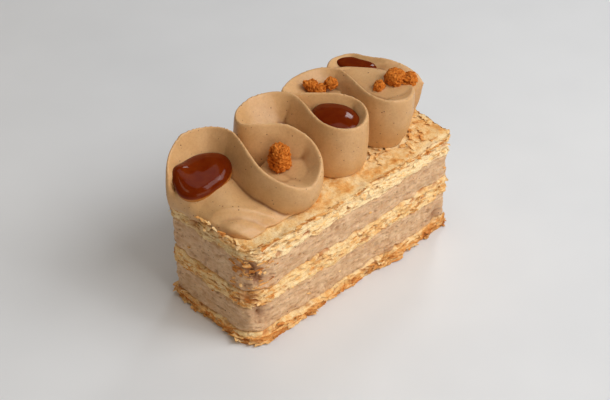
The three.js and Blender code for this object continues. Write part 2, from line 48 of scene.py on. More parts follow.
# The slice as cut
LENGTH = 120
WIDTH = 49
DECK = 50
LAYERS = (
    {"name": "pastry_bottom", "kind": "pastry", "low": 0, "high": 5},
    {"name": "cream_lower", "kind": "cream", "low": 5, "high": 19},
    {"name": "pastry_middle", "kind": "pastry", "low": 19, "high": 27.5},
    {"name": "cream_upper", "kind": "cream", "low": 27.5, "high": 40.5},
    {"name": "pastry_top", "kind": "pastry", "low": 40.5, "high": DECK},
)
# The right end is cut askew and lifts, and the top sheet is thinner at the left end
END_SHIFT = 2
END_SKEW = 0.09
SKEW_FROM = 20
LIFT = 1.5
LIFT_FROM = 44
THIN_END = 3.5
THIN_LENGTH = 10
THIN_ABOVE = 40
# Corners in turn, anticlockwise from the front right: where the arc starts, its side of x and y,
# and its radius
CORNERS = ((-90, 1, -1, 3), (0, 1, 1, 3), (90, -1, 1, 3), (180, -1, -1, 8))
CORNER_POINTS = 12
# The points along and up a cut side, and the groove where it meets the next layer: its depth and width
CUTS = {
    "pastry": {"along": 0.42, "up": 0.26, "groove": 0.5, "width": 0.4},
    "cream": {"along": 0.5, "up": 0.42, "groove": 0.9, "width": 0.5},
}
# Rings of the faces between two layers, how far the layers overlap there, and the rings of the deck
INNER_RINGS = (0.1, 0.4, 0.9)
LAYER_OVERLAP = 0.3
DECK_RINGS = 34
DECK_MIDDLE = 0.97
# Pits and tears in the cut sides, deepest in the torn corner at the front left
HOLLOWS = (
    {"at": (-57, -21, 37), "radius": 4, "depth": 3},
    {"at": (-54, -23.5, 33), "radius": 3, "depth": 2.4},
    {"at": (-58, -20, 25), "radius": 4.5, "depth": 2},
    {"at": (-54, -24, 15), "radius": 4, "depth": 2},
    {"at": (-60, 9, 46), "radius": 3.5, "depth": 2},
    {"at": (53, -24.5, 8), "radius": 4, "depth": 1.8},
)
# Where the bottom sheet spreads out from under the cream
SPREADS = (
    {"at": (-30, -24.5), "length": 15, "reach": 2.2},
    {"at": (24, -24.5), "length": 11, "reach": 2.4},
    {"at": (-50, -22), "length": 7, "reach": 1.2},
    {"at": (-10, 24.5), "length": 16, "reach": 2},
)

# The piped ribbon: nearly the same bends, climb and sinking end as in the solid
BENDS = (
    {"side": 1, "x": -48.3, "half": 15.4, "outer": 27.2, "depth": 11.5, "open": 155,
     "rim": (69, 77.3, 77.4), "tuck": 2, "floor": 60, "steep": 2.8},
    {"side": -1, "x": -22.9, "half": 13.7, "outer": -21.6, "depth": 14.3, "open": 180, "close": -46,
     "rim": (71, 63.4, 72.5), "tuck": 3, "floor": 61.5},
    {"side": 1, "x": -11.6, "half": 14.9, "outer": 26.9, "depth": 10.6, "open": 180,
     "rim": (77.4, 77.8, 77.6), "tuck": 2, "floor": 66},
    {"side": -1, "x": 9.8, "half": 11, "outer": -16.4, "depth": 11.4, "open": 180, "close": -46,
     "rim": (76.4, 74.6, 77), "tuck": 1.5, "floor": 67},
    {"side": 1, "x": 16, "half": 15.5, "outer": 26.6, "depth": 9.6, "open": 150,
     "rim": (77, 77.2, 77.4), "tuck": 2, "floor": 70.5},
    {"side": -1, "x": 37.2, "half": 10.5, "outer": -17.5, "depth": 11.3, "open": 180,
     "rim": (77.4, 76, 75.6), "tuck": 5, "floor": 73},
    {"side": 1, "x": 38.5, "half": 9.7, "outer": 27, "depth": 10, "open": 150,
     "rim": (75.8, 75.8, 77), "tuck": 2, "floor": 73, "steep": 3},
)
# Its climb to the first bend, and its way from the last bend at the front to the last one at the back
CLIMB = ((-60.6, 11.8, 53.5), (-62.4, 18.2, 60.5))
CROSSING = ((46.9, 3.2, 75.8), (42.8, 10.9, 76), (36.6, 17.4, 76))
CROSSING_BANK = (-0.4, 0, 0.4)
# Its sinking end, how far its foot lags behind there, and the nose: how far on, and its share in size
SINK = ((53, 7, 77.5), (56, 0.8, 75.7), (58, -4.9, 73), (58.4, -8.2, 69.6))
LEAN = (0, 1, 3, 5.5)
NOSE = ((0.8, 0.95), (1.4, 0.86), (1.8, 0.7), (2, 0.5))
NOSE_SPREAD = 0.25
HIGHEST = 78
# Its two sides: how far they reach, and how far down a wall and how far out a bowl is at each share
INNER_REACH = 13
SINK_REACH = 6
WALL_BULGE = 1.5
STEEP = 1.6
FLANK_SHARES = (0, 1 / 6, 2 / 6, 3 / 6, 4 / 6, 5 / 6, 1)
WALL_POINTS = (0, 0.04, 0.15, 0.35, 0.6, 0.85, 1)
BOWL_POINTS = (0, 0.07, 0.22, 0.42, 0.68, 1, 1)
FLANK_STEPS = 24
RIBBON_STEPS = 8
OVERLAP = 0.4
# The plug that fills the middle of each bend
PLUG_SHARE = 0.88
PLUG_FOOT = 0.65
PLUG_STEM = 6
PLUG_SIDES = 48
# Cream inside three of the bowls: the stretch of the ridge that it reaches, its height at a place, how
# it rises along x and y from there, and how high it may rise
FILLS = (
    {"ridge": (7, 12.5), "at": (-22, -6), "height": 62, "rise": (0.36, 0), "most": 67},
    {"ridge": (28, 37.5), "at": (35.2, -2.5), "height": 74, "rise": (0.18, 0.042), "most": 75.7},
    {"ridge": (35, 44.5), "at": (45.8, 8.8), "height": 74.9, "rise": (0.28, -0.113), "most": 76.9},
)
FILL_RINGS = (1, 0.85, 0.7, 0.55, 0.4, 0.25, 0.1)
FILL_STEM = 7
FOOT = DECK - 0.4
# The skin of the ribbon: its grid, how often it is smoothed, and the share of its faces that is kept
CREAM_VOXEL = 0.42
CREAM_ROUNDING = 15
CREAM_KEPT = 0.62
SWELL = 0.3
# How widely the creases of the ribbon are measured, and the depths from which painted shade darkens its
# cream in them
CREASE_STEPS = 24
CREASE_SHADE_DEPTHS = (0.05, 0.45)
# Columns of the ribbon's rows after x, y and z, and which row of a bend is its turn
BANK, TUCK, FLOOR, TRAIL, REACH, FALL = 3, 4, 5, 6, 7, 8
TURN_ROW = 2

# The tongue where the piping starts: y, left x, right x, height of its edge and of its crown, how far
# to the right the crown lies, and how sharp it is
TONGUE = (
    (22, -58, -38, 7, 8, 1.2, 0.6),
    (16, -60.6, -37, 7.5, 10, 1.2, 0.4),
    (10, -60.9, -36, 5, 12.6, 1.2, 0.4),
    (6, -59.9, -35, 3.3, 12, 1.15, 0.55),
    (0, -59, -33.5, 3.8, 10, 0.9, 0.9),
    (-4, -58.2, -32.5, 4.2, 8.4, 0.8, 1),
    (-10, -57, -31.5, 4.2, 6.4, 0.8, 1),
    (-14, -54.8, -31, 3, 3.8, 0.8, 1),
    (-17.4, -51.8, -29, 0.4, 0.8, 0.8, 1),
)
TONGUE_ROWS = 60
TONGUE_POINTS = 40
# The scoop that the nozzle left across the tongue and the crease above it: a place near them, the way
# across them, how far they bow, and how high, how far on and how wide each is
FOLDS_AT = (-48, -5)
FOLDS_ACROSS = (0.62, 0.78)
FOLDS_BOW = 0.004
FOLDS = ({"lift": -1.8, "on": -4.4, "width": 2.2}, {"lift": 0.9, "on": -1.4, "width": 0.7})

# Drops of caramel: centre, half sizes along their own axes, turns about z and about their own y and
# x, how flat their top is, and how much fuller the front left corner of one of them is
DROPS = (
    {"name": "caramel_1", "at": (-49, 15.6, 62.3), "half": (13.2, 10.2, 4.9), "turns": (-8, 12, 9),
     "flat": 1.4, "corner": 0.22},
    {"name": "caramel_2", "at": (9.8, -2.2, 71.3), "half": (9, 11.6, 3.5), "turns": (0, 0, 0),
     "flat": 1.35},
    {"name": "caramel_3", "at": (43, 18.3, 73.9), "half": (9.4, 4.9, 1.7), "turns": (-62, 0, 0),
     "flat": 2.4},
)
# How much further a drop reaches down into the cream than up
DROP_DEPTH = 1.5
# Where the largest drop swells up against the wall of its bowl
DROP_SWELL = {"at": (-59.5, 20.5), "size": 6, "lift": 4.2}

# Crumbs of biscuit: how blocky they are, and centre and half sizes of each lump
CRUMBS = (
    {"name": "crumb_1", "blocky": 3.4, "lumps": (((-22.2, -2.2, 67.2), (4.2, 4.6, 6.4)),)},
    {"name": "crumb_2", "blocky": 3, "lumps": (
        ((16.6, 19, 75.1), (3, 2.2, 2.8)),
        ((18.7, 16.2, 73.3), (3.1, 2.5, 2.2)),
        ((14.8, 20.2, 76.2), (1.7, 1.3, 1.5)),
    )},
    {"name": "crumb_3", "blocky": 2.2, "lumps": (((23.9, 14.7, 74.8), (3.3, 3, 2.1)),)},
    {"name": "crumb_4", "blocky": 2.4, "lumps": (
        ((44.5, -4, 77.4), (5.3, 5, 3.6)),
        ((48, -8, 76.5), (4.3, 4, 3.1)),
    )},
    {"name": "crumb_5", "blocky": 2.2, "lumps": (((36.3, -1.9, 75.4), (2.7, 2.6, 2.9)),)},
)
CRUMB_VOXEL = 0.22
CRUMB_ROUNDING = 2
CRUMB_CORE = 0.9
GRAIN = 0.56

# Each kind of flake: how many, at which heights, how wide, how long, how steep, and how brown, and
# for some of them the place that they keep near
FLAKES = (
    {"count": 70, "z": (20, 46), "width": (1.5, 4.5), "length": (0.5, 1.3), "lift": 0.4, "toast": 0.38,
     "near": (-56, -21), "spread": 9},
    {"count": 330, "z": (20, 27), "width": (1.6, 5.5), "length": (0.6, 1.3), "lift": 0.5, "toast": 0.2},
    {"count": 360, "z": (42, 49.4), "width": (1.6, 5.5), "length": (0.6, 1.3), "lift": 0.5, "toast": 0.06},
    {"count": 240, "z": (48.8, 50.1), "width": (1.6, 5), "length": (0.8, 1.6), "lift": 0.3, "toast": 0.4},
    {"count": 340, "z": (0.6, 5), "width": (2, 7), "length": (0.8, 2), "lift": 0.3, "toast": 0.38},
    {"count": 40, "z": (6, 40), "width": (0.6, 1.6), "length": (0.6, 1), "lift": 0.6, "toast": 0.3},
)
FLAKE_SPACING = 0.5
FLAKE_COLUMNS = 6
FLAKE_STEPS = 3
FLAKE_THICKNESS = (0.07, 0.13)
RAGGED = 0.22
# How far a flake starts inside the pastry, and how low it may hang
FLAKE_ROOT = 0.6
FLAKE_LOWEST = 0.05
# Leaves that lie loose on the deck: how many, where, how wide and long, how steep, and how brown
DECK_LEAVES = {"count": 110, "x": (18, 61), "y": (1 - WIDTH / 2, WIDTH / 2 - 1), "width": (1.5, 5),
               "length": (1.5, 4), "lift": (0.02, 0.22), "toast": (0.15, 0.5), "sunk": 0.35}
# Specks in the piped cream, their radii, and the share of the radius that they are sunk
SPECK_COUNT = 320
SPECK_RADII = (0.14, 0.18, 0.22, 0.3)
SPECK_SUNK = 0.45

# The camera: the photograph's bearing, height, distance in millimetres and focal length in pixels
BEARING = -44
ELEVATION = 37.7
DISTANCE = 627
AIM = (9.4, 15.6, 18.7)
FOCAL = 1400
PHOTO_WIDTH = 610
SENSOR = 36

# Lights: name, bearing and height in degrees, distance and size in metres, power, and any tint
LIGHTS = (
    ("key", 10, 50, 1.5, (0.8, 0.8), 9.2),
    ("right key", 40, 40, 1.5, (0.8, 0.8), 9.8),
    ("top", 0, 88, 1.2, (0.8, 0.8), 2.2),
    ("low front", -16, 15, 1.2, (0.9, 0.5), 3.2, (1, 0.85, 0.66)),
    ("left glint", -73, 42, 0.8, (0.15, 0.15), 0.2, (1, 0.75, 0.5)),
    ("window", 117, 38, 0.8, (0.15, 0.15), 0.7),
    ("back fill", -145, 18, 0.8, (0.3, 0.2), 0.6, (1, 0.78, 0.5)),
)
LIGHT_AIM = 0.04
WORLD_LEVEL = 0.06
WORLD_COLOUR = (1, 0.93, 0.83)
FLOOR_SIZE = 8
FLOOR_TONES = ((0.3, (0.73, 0.745, 0.765)), (0.7, (0.76, 0.775, 0.795)))


# Small helpers

def lumps(points, size, seed):
    """Smooth noise from -1 to 1 with lumps about size across. The seed picks one fixed pattern."""
    scaled = points / np.array(size)
    cell = np.floor(scaled).astype(np.int64)
    part = scaled - cell
    part = part * part * (3 - 2 * part)
    total = np.zeros(len(scaled))
    for corner in itertools.product((0, 1), repeat=3):
        bits = ((cell + corner) * (73856093, 19349663, 83492791)).sum(axis=1) + seed * 2654435761
        bits = ((bits ^ (bits >> 13)) * 1274126177) & 0xFFFFFFFF
        chance = ((bits ^ (bits >> 16)) & 0xFFFF) / 0xFFFF
        total += chance * np.prod(np.where(corner, part, 1 - part), axis=1)
    return 2 * total - 1


def smooth_step(low, high, value):
    share = np.clip((value - low) / (high - low), 0, 1)
    return share * share * (3 - 2 * share)


def bell(points, centre, size):
    """1 at the centre, falling away smoothly over the size."""
    return np.exp(-(((points - centre) / size) ** 2).sum(axis=1))


def points_at(x, y, z):
    """Points from their x, y and z, each of them many numbers or one."""
    return np.stack(np.broadcast_arrays(x, y, z), axis=1)


def make_mesh(name, points, faces):
    """A mesh with all its faces turned outward, from points in millimetres."""
    mesh = bpy.data.meshes.new(name)
    mesh.from_pydata((points * MM).tolist(), [], faces)
    work = bmesh.new()
    work.from_mesh(mesh)
    bmesh.ops.recalc_face_normals(work, faces=work.faces)
    work.to_mesh(mesh)
    work.free()
    return mesh


def add_piece(mesh, material, nodes=(), smooth=True):
    """Shows a mesh as a piece of the slice."""
    piece = bpy.data.objects.new(mesh.name, mesh)
    bpy.context.collection.objects.link(piece)
    mesh.polygons.foreach_set("use_smooth", [smooth] * len(mesh.polygons))
    mesh.materials.append(material)
    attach(piece, "root")
    if nodes:
        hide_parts(*nodes)


def points_and_normals(mesh):
    """A mesh's points in millimetres, and the way out of the surface at each."""
    points, normals = np.empty((2, len(mesh.vertices), 3))
    mesh.vertices.foreach_get("co", points.ravel())
    mesh.vertices.foreach_get("normal", normals.ravel())
    return points / MM, normals


def move_points(mesh, points):
    mesh.vertices.foreach_set("co", (points * MM).ravel())
    mesh.update()


def creases_of(mesh, points, normals):
    """How far each point lies below the smoothed surface round it, in millimetres."""
    edges = np.empty((len(mesh.edges), 2), np.int32)
    mesh.edges.foreach_get("vertices", edges.ravel())
    start, end = np.vstack([edges, edges[:, ::-1]]).T
    neighbours = np.bincount(start, minlength=len(points))
    smooth = points
    for _ in range(CREASE_STEPS):
        sums = [np.bincount(start, weights=column[end], minlength=len(points)) for column in smooth.T]
        smooth = np.stack(sums, axis=1) / neighbours[:, None]
    return ((smooth - points) * normals).sum(axis=1)


def set_value(mesh, name, values):
    """Keeps one number for each point, which a material can read."""
    layer = mesh.attributes.new(name, "FLOAT", "POINT")
    layer.data.foreach_set("value", np.asarray(values, np.float32))


def joined(parts):
    """The points and faces of several parts as one set."""
    points = []
    faces = []
    start = 0
    for part_points, part_faces in parts:
        points.append(part_points)
        faces.extend([start + corner for corner in face] for face in part_faces)
        start += len(part_points)
    return np.vstack(points), faces


def ball(centre, radii, subdivisions):
    work = bmesh.new()
    bmesh.ops.create_icosphere(work, subdivisions=subdivisions, radius=1)
    faces = [[vertex.index for vertex in face.verts] for face in work.faces]
    points = np.array([vertex.co for vertex in work.verts]) * radii + centre
    work.free()
    return points, faces


def fused(name, shells, voxel, smoothing, kept=1):
    """One skin round overlapping closed shells, with its edges rounded and a share of its faces kept."""
    rough = bpy.data.objects.new(name + "_rough", make_mesh(name + "_rough", *joined(shells)))
    bpy.context.collection.objects.link(rough)
    remesh = rough.modifiers.new("skin", "REMESH")
    remesh.mode = "VOXEL"
    remesh.voxel_size = voxel * MM
    rounding = rough.modifiers.new("rounding", "SMOOTH")
    rounding.factor = 0.5
    rounding.iterations = smoothing
    if kept < 1:
        thinning = rough.modifiers.new("thinning", "DECIMATE")
        thinning.ratio = kept
    shown = rough.evaluated_get(bpy.context.evaluated_depsgraph_get())
    mesh = bpy.data.meshes.new_from_object(shown)
    mesh.name = name
    bpy.data.objects.remove(rough)
    return mesh


def lofted(rings):
    """A closed shell through outlines of the same number of points."""
    around = len(rings[0])
    last = (len(rings) - 1) * around
    faces = []
    for start, k in itertools.product(range(0, last, around), range(around)):
        after = (k + 1) % around
        faces.append([start + k, start + after, start + around + after, start + around + k])
    return np.vstack(rings), faces + [list(range(around)), list(range(last, last + around))]


# Materials

class Paint:
    """A material and the few kinds of nodes that this slice needs."""

    def __init__(self, name):
        self.material = bpy.data.materials.new(name)
        self.material.use_nodes = True
        self.tree = self.material.node_tree
        self.shader = self.tree.nodes["Principled BSDF"]
        self.place = self.tree.nodes.new("ShaderNodeTexCoord").outputs["Object"]

    def feed(self, socket, source):
        """Gives a socket a number, a colour, or what comes out of another node."""
        if isinstance(source, (int, float)):
            socket.default_value = source
        elif isinstance(source, tuple):
            socket.default_value = (*source, 1)
        else:
            self.tree.links.new(source, socket)

    def colour(self, source):
        self.feed(self.shader.inputs["Base Color"], source)

    def noise(self, size, detail=3, rough=0.6, stretch=(1, 1, 1)):
        """Noise with lumps about size millimetres across."""
        scale = self.tree.nodes.new("ShaderNodeMapping")
        scale.inputs["Scale"].default_value = [1 / (size * MM * part) for part in stretch]
        self.feed(scale.inputs["Vector"], self.place)
        noise = self.tree.nodes.new("ShaderNodeTexNoise")
        noise.inputs["Scale"].default_value = 1
        noise.inputs["Detail"].default_value = detail
        noise.inputs["Roughness"].default_value = rough
        self.feed(noise.inputs["Vector"], scale.outputs["Vector"])
        return noise.outputs["Fac"]

    def specks(self, spacing, size):
        """1 inside small round specks, 0 outside: one in each cell of the given spacing."""
        cells = self.tree.nodes.new("ShaderNodeTexVoronoi")
        cells.inputs["Scale"].default_value = 1 / (spacing * MM)
        self.feed(cells.inputs["Vector"], self.place)
        return self.ramp(cells.outputs["Distance"], ((size / spacing * 0.7, 1), (size / spacing, 0)))

    def value(self, name):
        reader = self.tree.nodes.new("ShaderNodeAttribute")
        reader.attribute_name = name
        return reader.outputs["Fac"]

    def sums(self, kind, first, second):
        node = self.tree.nodes.new("ShaderNodeMath")
        node.operation = kind
        self.feed(node.inputs[0], first)
        self.feed(node.inputs[1], second)
        return node.outputs["Value"]

    def ramp(self, source, stops):
        """Stops of a place and a grey level or a colour."""
        node = self.tree.nodes.new("ShaderNodeValToRGB")
        elements = node.color_ramp.elements
        while len(elements) < len(stops):
            elements.new(0.5)
        for element, (place, colour) in zip(elements, stops):
            element.position = place
            element.color = (*colour, 1) if isinstance(colour, tuple) else (colour, colour, colour, 1)
        self.feed(node.inputs["Fac"], source)
        return node.outputs["Color"]

    def mix(self, share, first, second):
        """The first colour, or the second where the share is 1."""
        node = self.tree.nodes.new("ShaderNodeMix")
        node.data_type = "RGBA"
        sockets = {socket.identifier: socket for socket in (*node.inputs, *node.outputs)}
        self.feed(sockets["Factor_Float"], share)
        self.feed(sockets["A_Color"], first)
        self.feed(sockets["B_Color"], second)
        return sockets["Result_Color"]

    def bump(self, height, depth, strength):
        node = self.tree.nodes.new("ShaderNodeBump")
        node.inputs["Strength"].default_value = strength
        node.inputs["Distance"].default_value = depth * MM
        self.feed(node.inputs["Height"], height)
        self.feed(self.shader.inputs["Normal"], node.outputs["Normal"])

    def set(self, **values):
        """Sets the shader's own sockets, named in small letters with underscores."""
        for name, value in values.items():
            self.shader.inputs[name.replace("_", " ").title().replace("Ior", "IOR")].default_value = value


def linear(*colour):
    """A screen colour, with parts over 10 and up to 255, as the linear colour of a surface."""
    return tuple(((part / 255 + 0.055) / 1.055) ** 2.4 for part in colour)


def piped_material():
    paint = Paint("piped cream")
    tone = paint.ramp(paint.noise(9), ((0.3, linear(200, 156, 105)), (0.7, linear(212, 169, 119))))
    grain = paint.ramp(paint.noise(0.9, 4), ((0.42, 0), (0.75, 0.3)))
    fine = paint.mix(grain, tone, linear(170, 122, 76))
    patches = paint.ramp(paint.noise(3, 1), ((0.5, 0), (0.6, 1)))
    specks = paint.sums("MULTIPLY", paint.specks(2.6, 0.3), patches)
    # painted shade: the cream is darkened towards brown in the ribbon's creases
    shaded = paint.mix(paint.sums("MULTIPLY", paint.value("crease_shade"), 0.8), fine, linear(126, 76, 36))
    paint.colour(paint.mix(specks, shaded, linear(96, 56, 26)))
    paint.set(roughness=0.42, specular_ior_level=0.35)
    paint.set(subsurface_weight=0.12, subsurface_scale=1.5 * MM, subsurface_radius=(1, 0.55, 0.25))
    paint.bump(paint.sums("SUBTRACT", paint.noise(0.7, 3), specks), 0.12, 0.5)
    return paint.material


def filling_material():
    paint = Paint("cream filling")
    tone = paint.ramp(paint.noise(6), ((0.3, linear(201, 159, 117)), (0.7, linear(228, 194, 154))))
    smears = paint.ramp(paint.noise(1.8, 5, 0.65, (1, 1, 0.5)), ((0.48, 0), (0.68, 0.5)))
    drags = paint.ramp(paint.noise(3.5, 3, 0.6, (1, 1, 0.4)), ((0.48, 0), (0.68, 0.6)))
    dragged = paint.mix(drags, tone, linear(190, 142, 98))
    smeared = paint.mix(smears, dragged, linear(172, 122, 76))
    patches = paint.ramp(paint.noise(2, 1), ((0.46, 0), (0.54, 1)))
    specks = paint.sums("MULTIPLY", paint.specks(1.7, 0.26), patches)
    # painted shade: the cut side is darkened towards brown in its pits, caves and tears
    recess_shaded = paint.mix(paint.value("depth"), smeared, linear(138, 88, 50))
    paint.colour(paint.mix(specks, recess_shaded, linear(110, 66, 34)))
    paint.set(roughness=0.55)
    paint.set(subsurface_weight=0.15, subsurface_scale=MM, subsurface_radius=(1, 0.6, 0.3))
    paint.bump(paint.noise(0.5, 4), 0.2, 0.6)
    return paint.material


def pastry_material():
    paint = Paint("pastry")
    wander = paint.sums("SUBTRACT", paint.noise(2.2, 5, 0.7), 0.5)
    toast = paint.sums("ADD", paint.value("toast"), wander)
    colour = paint.ramp(toast, (
        (0, linear(247, 224, 176)),
        (0.3, linear(241, 204, 142)),
        (0.5, linear(229, 172, 98)),
        (0.75, linear(202, 124, 52)),
        (1, linear(150, 80, 30)),
    ))
    grain = paint.ramp(paint.noise(0.5, 4), ((0.48, 0), (0.72, 0.55)))
    fine = paint.mix(grain, colour, linear(190, 112, 44))
    # painted shade: the cut side is darkened towards orange-brown in its gaps and holes
    paint.colour(paint.mix(paint.value("depth"), fine, linear(172, 92, 34)))
    paint.set(roughness=0.62, specular_ior_level=0.3)
    paint.bump(paint.noise(0.35, 4), 0.18, 0.7)
    return paint.material


def caramel_material():
    paint = Paint("caramel")
    colour = paint.ramp(paint.value("thin"), (
        (0, (0.125, 0.0125, 0.0008)),
        (0.55, (0.22, 0.04, 0.003)),
        (1, (0.5, 0.2, 0.045)),
    ))
    haze = paint.ramp(paint.noise(5, 2), ((0.4, 0), (0.8, 0.25)))
    paint.colour(paint.mix(haze, colour, (0.26, 0.05, 0.004)))
    paint.set(roughness=0.08, specular_ior_level=0.14)
    paint.set(subsurface_weight=0.2, subsurface_scale=1.5 * MM, subsurface_radius=(1, 0.3, 0.05))
    return paint.material


def biscuit_material():
    paint = Paint("biscuit")
    tone = paint.ramp(paint.noise(1.1, 4, 0.7), (
        (0.3, linear(160, 80, 20)),
        (0.5, linear(196, 110, 36)),
        (0.75, linear(224, 148, 70)),
    ))
    # painted shade: the crumb is darkened in the crevices between its grains
    paint.colour(paint.mix(paint.value("depth"), tone, linear(140, 66, 14)))
    paint.set(roughness=0.85, specular_ior_level=0.1)
    paint.bump(paint.noise(0.3, 4), 0.15, 0.8)
    return paint.material


def speck_material():
    paint = Paint("spice specks")
    paint.colour(paint.ramp(paint.noise(1, 2), ((0.35, linear(70, 38, 16)), (0.7, linear(140, 84, 40)))))
    paint.set(roughness=0.7)
    return paint.material


# The layers of the slice

def outline(spacing):
    """Places round the slice and the way out from each: x, y, out x and out y."""
    marks = []
    for start, side_x, side_y, radius in CORNERS:
        for angle in np.radians(np.linspace(start, start + 90, CORNER_POINTS)):
            x = side_x * (LENGTH / 2 - radius) + radius * math.cos(angle)
            y = side_y * (WIDTH / 2 - radius) + radius * math.sin(angle)
            marks.append((x, y, math.cos(angle), math.sin(angle)))
    marks = np.array(marks + marks[:1])
    run = np.concatenate([[0], np.cumsum(np.hypot(*np.diff(marks[:, :2], axis=0).T))])
    places = np.linspace(0, run[-1], round(run[-1] / spacing), endpoint=False)
    x, y, out_x, out_y = (np.interp(places, run, column) for column in marks.T)
    share = np.clip((x - SKEW_FROM) / (LENGTH / 2 - SKEW_FROM), 0, 1)
    return np.stack([x + share ** 2 * (END_SHIFT + END_SKEW * y), y, out_x, out_y], axis=1)


def deck_height(x):
    return DECK + LIFT * np.maximum(0, (x - LIFT_FROM) / (LENGTH / 2 - LIFT_FROM))


def interface_height(level, x, y):
    """The height of the boundary that lies at a level, before it is ragged."""
    if level == 0:
        return np.zeros_like(x)
    if level == DECK:
        return deck_height(x)
    thin = THIN_END * np.exp(-((x + LENGTH / 2) / THIN_LENGTH) ** 2) if level > THIN_ABOVE else 0
    long_wave = 0.5 * np.sin(0.11 * x + 0.4 * level + 0.05 * y)
    short_wave = 0.35 * np.sin(0.33 * x + 1.3 * level - 0.12 * y)
    return level + thin + long_wave + short_wave


def ragged_height(level, x, y):
    """The boundary at a cut side, where bits of pastry and cream are dragged over each other."""
    height = interface_height(level, x, y)
    if level in (0, DECK):
        return height
    flat = points_at(x, y, level)
    return height + 0.9 * lumps(flat, 4.5, 11) + 0.5 * lumps(flat, 1.6, 12)


def hollow_depth(points):
    return sum(pit["depth"] * bell(points, pit["at"], pit["radius"]) for pit in HOLLOWS)


def spread_reach(points):
    """How far the bottom sheet spreads out there."""
    flat = points[:, :2]
    reach = sum(spread["reach"] * bell(flat, spread["at"], spread["length"]) for spread in SPREADS)
    return reach * (0.75 + 0.5 * lumps(points, (3, 3, 1.2), 21))


def pastry_relief(points):
    """How far torn leaves stand out of a cut side and how deep the gaps between them are, and how much
    painted shade darkens those gaps and holes.
    """
    warped = points + np.outer(0.9 * lumps(points, 8, 31), (0, 0, 1))
    leaves = lumps(warped, (8, 8, 1), 32)
    threads = lumps(warped, (3, 3, 0.5), 33)
    crumbs = lumps(points, 0.8, 34)
    gaps = smooth_step(0.25, 0.65, lumps(warped, (4, 4, 0.8), 35))
    holes = smooth_step(0.55, 0.85, lumps(points, 1.3, 36))
    relief = 0.5 * leaves + 0.45 * threads + 0.2 * crumbs - 0.75 * gaps - 0.6 * holes
    return relief, np.clip(0.65 * gaps + 0.5 * holes, 0, 1)


def filling_relief(points):
    """The cut side of a cream layer: soft smears, small pits and a few larger ones, and how much painted
    shade darkens its pits, caves and tears.
    """
    smears = lumps(points, (6, 6, 2.2), 41)
    lines = lumps(points, (5, 5, 0.7), 42)
    pits = smooth_step(0.55, 0.85, lumps(points, 1.1, 43))
    caves = smooth_step(0.7, 0.9, lumps(points, 2.6, 44))
    fine = lumps(points, 0.9, 45)
    drags = lumps(points, (1.8, 1.8, 5), 47)
    warped = points + np.outer(1.6 * lumps(points, 5, 48), (0, 0, 1))
    tears = smooth_step(0.5, 0.72, lumps(warped, (3.4, 3.4, 0.9), 49))
    relief = -0.5 + 0.4 * smears + 0.35 * lines + 0.25 * drags + 0.12 * fine
    relief -= 0.5 * pits + 0.8 * caves + 0.55 * tears
    return relief, np.clip(0.35 * pits + 0.45 * caves + 0.35 * tears, 0, 1)


def side_rows(layer, place):
    """The points of a cut side, row above row, and how much painted shade darkens the gaps and hollows at
    each.
    """
    cut = CUTS[layer["kind"]]
    relief = pastry_relief if layer["kind"] == "pastry" else filling_relief
    thickness = layer["high"] - layer["low"]
    x, y, out_x, out_y = place.T
    low, high = (ragged_height(layer[side], x, y) for side in ("low", "high"))
    rows = []
    recess_shades = []
    for share in np.linspace(0, 1, round(thickness / cut["up"]) + 1):
        level = layer["low"] + share * thickness
        points = points_at(x, y, level)
        reach, depth = relief(points)
        if layer["low"] == 0:
            reach += spread_reach(points)
        if 0 < level < DECK:
            reach -= cut["groove"] * math.exp(-(min(share, 1 - share) * thickness / cut["width"]) ** 2)
        hollow = hollow_depth(points)
        reach = reach - hollow * (1 + 0.4 * lumps(points, 1.6, 46))
        rows.append(points_at(x + out_x * reach, y + out_y * reach, low + share * (high - low)))
        # painted shade: darker in the gaps, pits and hollows of the cut side
        recess_shades.append(np.clip(depth + 0.35 * hollow, 0, 1))
    return rows, recess_shades


def inner_ring(place, ring, share, height):
    """A ring drawn in towards the middle line of the slice."""
    end = (LENGTH - WIDTH) / 2
    x = ring[:, 0] + share * (np.clip(place[:, 0], -end, end) - ring[:, 0])
    y = ring[:, 1] * (1 - share)
    return points_at(x, y, height(x, y))


def deck_relief(x, y):
    """The baked top: loose leaves in low steps, with a fibrous surface."""
    flat = points_at(x, y, 0)
    leaves = 2.5 * (lumps(flat, 5, 51) + 0.5 * lumps(flat, 2.2, 52))
    steps = np.floor(leaves) + smooth_step(0.6, 1, leaves % 1)
    fibres = lumps(flat, (2.4, 0.7, 1), 53) + lumps(flat, (0.8, 2.6, 1), 54)
    return -0.45 + 0.22 * steps + 0.14 * fibres + 0.12 * lumps(flat, 0.7, 55)


def layer_mesh(layer):
    """A layer: its cut side, and its faces above and below, drawn in towards its middle."""
    place = outline(CUTS[layer["kind"]]["along"])
    rows, recess_shades = side_rows(layer, place)
    top = layer["high"] == DECK

    def under(x, y):
        return ragged_height(layer["low"], x, y) - (LAYER_OVERLAP if layer["low"] else 0)

    def over(x, y):
        if top:
            return deck_height(x) + deck_relief(x, y)
        return ragged_height(layer["high"], x, y) + LAYER_OVERLAP

    lower = [inner_ring(place, rows[0], share, under) for share in reversed(INNER_RINGS)]
    shares = np.linspace(0, DECK_MIDDLE, DECK_RINGS)[1:] if top else INNER_RINGS
    if top:
        # the rim takes the relief of the deck, so that the two meet
        rows[-1][:, 2] = over(rows[-1][:, 0], rows[-1][:, 1])
        rows[-2][:, 2] = 0.5 * (rows[-1][:, 2] + rows[-3][:, 2])
    upper = [inner_ring(place, rows[-1], share, over) for share in shares]
    points, faces = lofted(lower + rows + upper)
    mesh = make_mesh(layer["name"] + "_dressed", points, faces)
    hidden = (len(place) * len(lower), len(place) * len(upper))
    # painted shade in the gaps and hollows of the cut sides, none on the faces above and below
    set_value(mesh, "depth", np.pad(np.concatenate(recess_shades), hidden))
    if layer["kind"] == "pastry":
        set_value(mesh, "toast", toast_of(layer, points))
    return mesh


